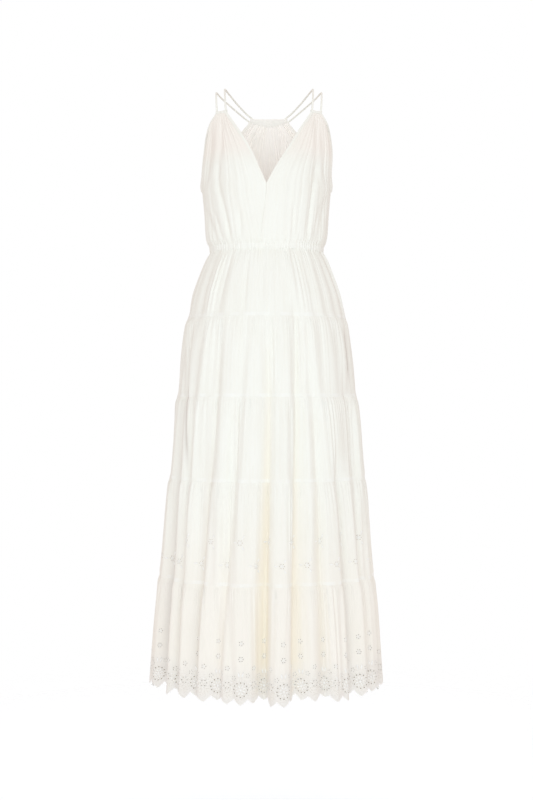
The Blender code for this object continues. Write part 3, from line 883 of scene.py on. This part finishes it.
def sharp_creases(angle, height):
    """How far the short sharp creases sink: each row gives the angle and height of both ends, its
    depth and its half width in degrees, and it thins out towards the ends."""
    sunk = 0.0
    for top_angle, top, bottom_angle, bottom, depth, half_width in CREASES:
        along = (top - height) / (top - bottom)
        aside = (angle - top_angle - (bottom_angle - top_angle) * along + 180.0) % 360.0 - 180.0
        ends = ease(along / 0.25) * ease((1.0 - along) / 0.25)
        sunk = sunk + depth * ends * np.exp(-(aside / half_width) ** 2)
    return sunk


def folds(angle, height):
    """How far the hanging folds sink inwards: one soft trough for each row of the table, which gives
    its angle at the waist and at the hem, its depth, its half width in degrees, where it starts, and
    the side on which the next crest stands over it steeply, 1 for the larger angle."""
    down = ease((WAIST_BOTTOM - height) / (WAIST_BOTTOM - HEM))
    growth = FOLD_SHARE_AT_WAIST + (1.0 - FOLD_SHARE_AT_WAIST) * down
    sunk = 0.0
    for at_waist, at_hem, depth, half_width, start, steep in FOLDS:
        centre = at_waist + (at_hem - at_waist) * down
        aside = (angle - centre + 180.0) % 360.0 - 180.0
        reach = half_width * np.where(aside * steep > 0.0, 0.80 - 0.30 * down, 1.20 + 0.30 * down)
        onset = ease((start - height) / FOLD_ONSET)
        sunk = sunk + depth * growth * onset * np.exp(-(aside / reach) ** 2)
    return sunk + sharp_creases(angle, height)


def sway(angle, height):
    """Slow unevenness of the hanging cloth, the same on both sides of a seam: two sets of waves round
    the skirt that change over as they go down."""
    down = (WAIST_BOTTOM - height) / (WAIST_BOTTOM - HEM)
    turn = angle / 360.0
    upper = ease(2.0 * down)
    lower = ease(2.0 * down - 1.0)
    mixed = wander(turn, 9, 34, 101) * (1.0 - upper) + wander(turn, 9, 34, 103) * upper * (1.0 - lower)
    return (mixed + wander(turn, 7, 26, 105) * lower) * (0.0012 + 0.0022 * ease(down * 1.3))


LOBE_DEPTH = 0.012
LOBE_REACH = 0.040
PLEAT_FADE = 0.020


class Tier:
    """One tier as a grid of points, with its columns evenly spaced along the cloth."""

    def __init__(self, top, bottom, columns, rows, fine, seed, lobes=0):
        self.deep = top - bottom
        self.lobes = lobes
        turn = np.linspace(-90.0, 270.0, 6001)
        low = bottom + 0.0 * turn
        trace = on_form(turn, low, sway(turn, low) - folds(turn, low))
        run = np.concatenate([[0.0], np.cumsum(np.linalg.norm(np.diff(trace, axis=0), axis=-1))])
        self.length = run[-1]
        self.share = np.arange(columns) / columns
        spread = np.linspace(0.0, 1.0, rows + 1)
        self.levels = self.deep * (0.45 * spread ** 2 + 0.55 * spread)
        share, level = np.broadcast_arrays(self.share[None, :], self.levels[:, None])
        angle = np.interp(share * self.length, run, turn)
        height = top - level + self.lift_of_lobes(share, level)
        if lobes:
            uneven = 0.0075 * ease(folds(angle, height) / 0.030) + 0.0025 * wander(share, 3, 9, seed + 17)
            height = height + (level / self.deep) ** 2 * uneven
        sunk = folds(angle, height)
        outwards = self.gathered(share, level, fine, seed) + sway(angle, height)
        if top > -0.4:
            outwards = outwards + PLEAT_HEIGHT * np.exp(-level / PLEAT_FADE) * waist_pleats(angle)
        self.points = on_form(angle, height, outwards - sunk)
        closed = np.concatenate([self.points[:, -1:], self.points, self.points[:, :1]], axis=1)
        self.normals = normals_of(closed)[:, 1:-1]
        # How deep each point lies in a fold, which the finishes paint as shade.
        self.hollow = 0.85 * ease(sunk / FULL_HOLLOW) ** 3 + CREASE_HOLLOW * sharp_creases(angle, height)
        share, level = np.broadcast_arrays(np.append(self.share, 1.0)[None, :], self.levels[:, None])
        up = self.deep - level + self.lift_of_lobes(share, level)
        self.map = np.stack([share * self.length, up], axis=-1)

    def gathered(self, share, level, fine, seed):
        """How far the gathers stand out: fine ones that fade below the top seam, others that are
        strongest in the upper half, and wide ones. They wander a little sideways on their way down,
        and flatten towards both seams."""
        moved = share + 0.006 * wander(share, 2, 9, seed + 11) * level / self.deep
        open_top = ease(level / 0.012)
        near_seam = 0.08 + 0.92 * np.exp(-level / 0.050)
        lively = np.clip(0.55 + 0.45 * wander(share, 4, 13, seed + 13), 0.1, 1.2)
        middle = ease(level / 0.030) * (1.0 - 0.55 * ease((level / self.deep - 0.6) / 0.4))
        wide = ease(level / 0.060)
        outwards = fine * open_top * near_seam * gathers(moved, int(self.length / 0.0085), seed)
        outwards += 0.0021 * middle * lively * gathers(moved, int(self.length / 0.023), seed + 2, 1.1)
        outwards += 0.0026 * wide * gathers(moved, int(self.length / 0.053), seed + 4, 1.0)
        close = 1.0 if self.lobes else ease((self.deep - level) / 0.012)
        return outwards * close - 0.00025 * (1.0 - open_top)

    def lobe(self, share):
        """1 at the middle of a scallop, and 0 where two meet: between a round arch and a plain point."""
        pointed = 1.0 - np.abs((self.lobes * share) % 1.0 * 2.0 - 1.0)
        return 0.45 * np.abs(np.sin(np.pi * self.lobes * share)) + 0.55 * pointed

    def lift_of_lobes(self, share, level):
        """How far the hem rises between the scallops, fading out over the last 40 mm of cloth."""
        if not self.lobes:
            return 0.0 * level * share
        near = np.clip((level - self.deep + LOBE_REACH) / LOBE_REACH, 0.0, 1.0)
        return LOBE_DEPTH * (1.0 - self.lobe(share)) * near

    def at(self, across, drop, lift):
        """Points over the cloth, across metres round it, drop metres below its seam and lift metres
        off its face, by straight steps between the grid's own points."""
        if self.lobes:
            rise = LOBE_DEPTH * (1.0 - self.lobe(across / self.length))
            start = self.deep - LOBE_REACH
            risen = (drop - rise * start / LOBE_REACH) / (1.0 - rise / LOBE_REACH)
            drop = np.where(drop > start, risen, drop)
        columns = len(self.share)
        last = len(self.levels) - 1
        column = across / self.length % 1.0 * columns
        row = np.clip(np.interp(drop, self.levels, np.arange(last + 1)), 0.0, last - 0.001)
        left = column.astype(int)
        upper = row.astype(int)
        rightwards = (column - left)[..., None]
        downwards = (row - upper)[..., None]
        lifted = 0.0
        for down, row_share in ((0, 1.0 - downwards), (1, downwards)):
            for right, column_share in ((0, 1.0 - rightwards), (1, rightwards)):
                place = upper + down, (left + right) % columns
                corner = self.points[place] + lift[..., None] * self.normals[place]
                lifted = lifted + row_share * column_share * corner
        return lifted


def hang(tier, number, finish):
    """Lays the cloth of a tier, gathered to the piece above it."""
    name = f"skirt_tier_{number}"
    nodes = [f"tier_{number}_front", f"tier_{number}_back"]
    cloth_piece(name, nodes, tier.points, finish, CLOTH, True, tier.map, tier.hollow)


# Embroidery. Eyelets are pierced in the cloth and whipped round with thread, in rings, and satin stitch
# makes the petals and leaves between them. All of it is worked before the tier is gathered.
thread = Finish("satin_thread", {"Roughness": 0.42, "Sheen Weight": 0.2, "Specular IOR Level": 0.35})
thread_place = thread.node("ShaderNodeTexCoord", {}, {}, "Object")
thread_grain = thread.noise(thread_place, (900.0, 900.0, 900.0))
thread.feed("Base Color", thread.colours(thread_grain, (0.985, 0.98, 0.96, 1.0), (0.95, 0.94, 0.915, 1.0)))
thread.bump(thread_grain, 0.0002)


HALF_EDGE = 0.0002


def pierce(finish, pitch, centre, rings, hole_shade):
    """Holes in a finish, only partly see-through and darkened with painted shade, for the dim inside
    of the dress seen through them. Each row of the table is a ring of eyelets: across from the motif's
    middle, up from the lower edge, the ring's radius, the number of eyelets and the radius of each."""
    place = finish.node("ShaderNodeUVMap", {"uv_map": "cloth"}, {})
    across = finish.along(place, "X")
    up = finish.along(place, "Y")
    kept = None
    for aside, height, radius, count, hole in rings:
        right = (across + (0.5 * pitch - centre - aside)) % pitch - 0.5 * pitch
        above = up - height
        step = 2.0 * np.pi / count
        turn = (above.math("ARCTAN2", right) + 0.5 * step) % step - 0.5 * step
        reach = (right * right + above * above).math("SQRT")
        outer = reach * turn.math("COSINE") - radius
        inner = reach * turn.math("SINE")
        away = (outer * outer + inner * inner).math("SQRT")
        cloth = away.between(hole - HALF_EDGE, hole + HALF_EDGE)
        kept = cloth if kept is None else kept * cloth
    finish.feed("Alpha", 0.75 + 0.25 * kept)
    # Painted shade in the holes, for the dim inside of the dress behind them.
    overlaid(finish, 1.0 - kept, hole_shade)


def tube_faces(rings, section):
    """Faces of a tube that closes on itself, whose points run round each ring in turn."""
    index = np.arange(rings * section).reshape(rings, section)
    ahead = np.roll(index, -1, axis=0)
    faces = np.stack([index, ahead, np.roll(ahead, -1, axis=1), np.roll(index, -1, axis=1)], axis=-1)
    return faces.reshape(-1, 4)


def eyelet_rim(around=9, section=4):
    """A thread ring of radius 1 and section 0.34, flattened: its points and faces."""
    turn = round_turn(around)[:, None]
    roll = round_turn(section)[None, :]
    reach = 1.0 + 0.34 * np.cos(roll)
    height = 0.22 * np.sin(roll) + 0.0 * turn
    points = np.stack([reach * np.cos(turn), reach * np.sin(turn), height], axis=-1)
    return points.reshape(-1, 3), tube_faces(around, section)


def satin_leaf(wide, point, rings=4, around=6):
    """A padded leaf 2 long and of its own width, along its second axis, pointed by a power: its points
    and faces. Its ends are closed by faces whose last two corners are one point."""
    along = np.linspace(-1.0, 1.0, rings + 2)[1:-1, None]
    roll = round_turn(around)[None, :]
    swell = wide * (1.0 - along ** 2) ** point
    body = np.stack([swell * np.cos(roll), along + 0.0 * roll, 0.30 * swell * np.sin(roll)], axis=-1)
    points = np.vstack([body.reshape(-1, 3), [[0.0, -1.0, 0.0], [0.0, 1.0, 0.0]]])
    index = np.arange(rings * around).reshape(rings, around)
    turned = np.roll(index, -1, axis=1)
    faces = np.stack([index[:-1], index[1:], turned[1:], turned[:-1]], axis=-1).reshape(-1, 4)
    first = np.stack([index[0], turned[0], 0 * index[0] + rings * around], axis=-1)
    last = np.stack([turned[-1], index[-1], 0 * index[-1] + rings * around + 1], axis=-1)
    return points, faces.tolist() + first.tolist() + last.tolist()


def worked(tier, shape, places, lift=0.0005):
    """A shape laid on a tier at many places, each with its across, up, turn in degrees and size."""
    across, up, turn, size = np.array(places, dtype=float).T[:, :, None]
    cos = np.cos(np.radians(turn))
    sin = np.sin(np.radians(turn))
    points, faces = shape
    right = across + size * (cos * points[:, 0] - sin * points[:, 1])
    above = up + size * (sin * points[:, 0] + cos * points[:, 1])
    laid = tier.at(right, tier.deep - above, lift + size * points[:, 2])
    return laid.reshape(-1, 3), [
        [corner + copy * len(points) for corner in face] for copy in range(len(across)) for face in faces
    ]


def places(across, up, turn, size):
    """Rows of a table of places, from arrays or numbers that are spread over each other."""
    return np.stack(np.broadcast_arrays(across, up, turn, size), axis=-1).reshape(-1, 4)


def ringed(rings, pitch, centre, motifs):
    """Places of the eyelets' rims: every motif round the tier, and every eyelet of its rings."""
    rims = []
    for aside, height, radius, eyelets, hole in rings:
        turn = round_turn(eyelets)[None, :]
        motif = centre + aside + pitch * np.arange(motifs)[:, None]
        across = motif + radius * np.cos(turn)
        rims.append(places(across, height + radius * np.sin(turn), 0.0, hole + 0.0004))
    return np.vstack(rims)


def petals(aside, height, reach, count, size, pitch, centre, motifs):
    """Places of petals that point away from a motif's middle."""
    turn = 2.0 * np.pi * (np.arange(count)[None, :] + 0.5) / count
    motif = centre + aside + pitch * np.arange(motifs)[:, None]
    across = motif + reach * np.cos(turn)
    return places(across, height + reach * np.sin(turn), np.degrees(turn) - 90.0, size)


def stitched(name, parts):
    """One piece of thread made of all the shapes laid on a tier."""
    points = np.vstack([part[0] for part in parts])
    starts = np.cumsum([0] + [len(part[0]) for part in parts])
    faces = [[corner + start for corner in face] for part, start in zip(parts, starts) for face in part[1]]
    mesh = bpy.data.meshes.new(name)
    mesh.from_pydata(points.tolist(), [], faces)
    mesh.materials.append(thread.material)
    mesh.shade_smooth()
    piece = bpy.data.objects.new(name, mesh)
    scene.collection.objects.link(piece)
    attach(piece, "root")


# Plain tiers. Four strips of the crinkled cotton. Along their lower edges, above each seam, the seam
# allowance shows through. The lowest one has two staggered rows of sprigs with three leaves each.
TIER_SEAMS = (WAIST_BOTTOM, -0.528, -0.706, -0.892, -1.115, HEM)
SPRIGS = 22
# Painted shade in the sprigs' eyelets.
SPRIG_HOLE_SHADE = (0.84, 0.75, 0.59, 1.0)
seamed_cotton = crinkled("seamed_cotton", allowance=SEAM_ALLOWANCE)
sprigged_cotton = crinkled("sprigged_cotton", allowance=SEAM_ALLOWANCE)
for number, columns, rows, fine, seed, cloth, above in (
    (1, 660, 24, 0.0010, 201, seamed_cotton, casing),
    (2, 780, 26, 0.0011, 221, seamed_cotton, "skirt_tier_1"),
    (3, 880, 26, 0.0012, 241, seamed_cotton, "skirt_tier_2"),
    (4, 1000, 28, 0.0013, 261, sprigged_cotton, "skirt_tier_3"),
):
    tier = Tier(TIER_SEAMS[number - 1] + TUCK, TIER_SEAMS[number], columns, rows, fine, seed)
    hang(tier, number, cloth)
sprig_tier = tier
sprig_pitch = sprig_tier.length / SPRIGS
sprigs = (sprig_pitch, 0.5 * sprig_pitch, SPRIGS)
SPRIG_PLACES = ((0.0, 0.0950), (0.5 * sprig_pitch, 0.0450))
SPRIG_RINGS = [(*place, 0.0052, 6, 0.0011) for place in SPRIG_PLACES]
pierce(sprigged_cotton, sprig_pitch, 0.5 * sprig_pitch, SPRIG_RINGS, SPRIG_HOLE_SHADE)


# Hem tier. The last strip is bordered cloth: an eyelet medallion over every second scallop, sprigs in
# columns above it, and a satin-stitched scalloped edge.
SCALLOPS = 60
MEDALLIONS = 30
# Painted shade in the hem's eyelets.
HEM_HOLE_SHADE = (0.46, 0.39, 0.28, 1.0)
EDGE_WIDTH = 0.012
hem_tier = Tier(TIER_SEAMS[4] + TUCK, HEM, 1060, 34, 0.0014, 281, SCALLOPS)
HEM_PITCH = hem_tier.length / MEDALLIONS
HEM_CENTRE = 0.25 * HEM_PITCH
HEM_RINGS = (
    (0.0, 0.0320, 0.0152, 12, 0.0018),
    (0.5 * HEM_PITCH, 0.0400, 0.0065, 6, 0.0013),
    (0.0, 0.0970, 0.0048, 6, 0.0010),
    (0.0, 0.1300, 0.0044, 5, 0.0009),
    (0.5 * HEM_PITCH, 0.0760, 0.0044, 5, 0.0009),
    (0.25 * HEM_PITCH, 0.0620, 0.0042, 5, 0.0009),
    (0.75 * HEM_PITCH, 0.0560, 0.0042, 5, 0.0009),
)


def bordered(finish, pitch):
    """The border of a finish: greyer towards the hem, partly for the denser embroidery and partly as
    painted shade, with scattered darker stitches, and greyer along the scallops, which are a pitch wide."""
    place = finish.node("ShaderNodeUVMap", {"uv_map": "cloth"}, {})
    up = finish.along(place, "Y")
    notch = 1.0 - (finish.along(place, "X") * (np.pi / pitch)).math("SINE").math("ABSOLUTE")
    above_edge = (up - LOBE_DEPTH * notch).between(EDGE_WIDTH - 0.003, EDGE_WIDTH + 0.003)
    stitches = finish.noise(place, (480.0, 420.0, 1.0), 1.0).between(0.50, 0.66)
    # Greyer towards the hem: denser embroidery and painted shade.
    overlaid(finish, up.between(0.095, 0.045) * 0.5, BORDER_GREY_AND_SHADE)
    overlaid(finish, up.between(0.075, 0.030) * stitches * 0.6, CREASE_SHADE_AND_STITCH)
    overlaid(finish, (1.0 - above_edge) * 0.6, BORDER_GREY_AND_SHADE)


hem_cotton = crinkled("bordered_cotton")
bordered(hem_cotton, hem_tier.length / SCALLOPS)
pierce(hem_cotton, HEM_PITCH, HEM_CENTRE, HEM_RINGS, HEM_HOLE_SHADE)
hang(hem_tier, 5, hem_cotton)


# Stitched motifs. Each eyelet has a rim of thread, medallions and sprigs have petals of satin stitch,
# and a pair of leaves stands over each medallion.
rim = eyelet_rim()
petal = satin_leaf(0.42, 0.8)
leaf = satin_leaf(0.36, 1.1)
button = satin_leaf(1.0, 0.5)
medallions = (HEM_PITCH, HEM_CENTRE, MEDALLIONS)
tips = HEM_CENTRE + HEM_PITCH * np.arange(MEDALLIONS)
leaf_side = np.array([[-1.0], [1.0]])
HEM_PETALS = (
    (0.0, 0.0320, 0.0080, 8, 0.0038),
    (0.5 * HEM_PITCH, 0.0400, 0.0108, 6, 0.0024),
    (0.0, 0.0970, 0.0018, 4, 0.0019),
    (0.0, 0.1300, 0.0016, 4, 0.0017),
    (0.5 * HEM_PITCH, 0.0760, 0.0016, 4, 0.0017),
)
stitched("hem_embroidery", [
    worked(hem_tier, rim, ringed(HEM_RINGS, *medallions)),
    worked(hem_tier, button, places(tips, 0.0320, 0.0, 0.0034)),
    *[worked(hem_tier, petal, petals(*flower, *medallions)) for flower in HEM_PETALS],
    worked(hem_tier, leaf, places(tips + leaf_side * 0.0042, 0.0640, -leaf_side * 14.0, 0.0062)),
])
stitched("sprig_embroidery", [
    worked(sprig_tier, rim, ringed(SPRIG_RINGS, *sprigs)),
    *[worked(sprig_tier, petal, petals(*place, 0.0020, 5, 0.0021, *sprigs)) for place in SPRIG_PLACES],
    *[worked(sprig_tier, leaf, petals(*place, 0.0135, 3, 0.0050, *sprigs)) for place in SPRIG_PLACES],
])


# Hem cord. Satin stitch over a fine cord finishes the scallops. It is a round section carried along
# the lower edge of the cloth, kept square to it.
CORD_RADIUS = 0.0010
CORD_SIDES = 8
edge = hem_tier.points[-1]
outwards = hem_tier.normals[-1]
across_edge = unit(np.cross(outwards, np.roll(edge, -1, axis=0) - np.roll(edge, 1, axis=0)))
roll = round_turn(CORD_SIDES)[None, :, None]
around_edge = outwards[:, None] * np.cos(roll) + across_edge[:, None] * np.sin(roll)
cord_points = (edge[:, None] + CORD_RADIUS * around_edge).reshape(-1, 3)
stitched("hem_cord", [(cord_points, tube_faces(len(edge), CORD_SIDES))])
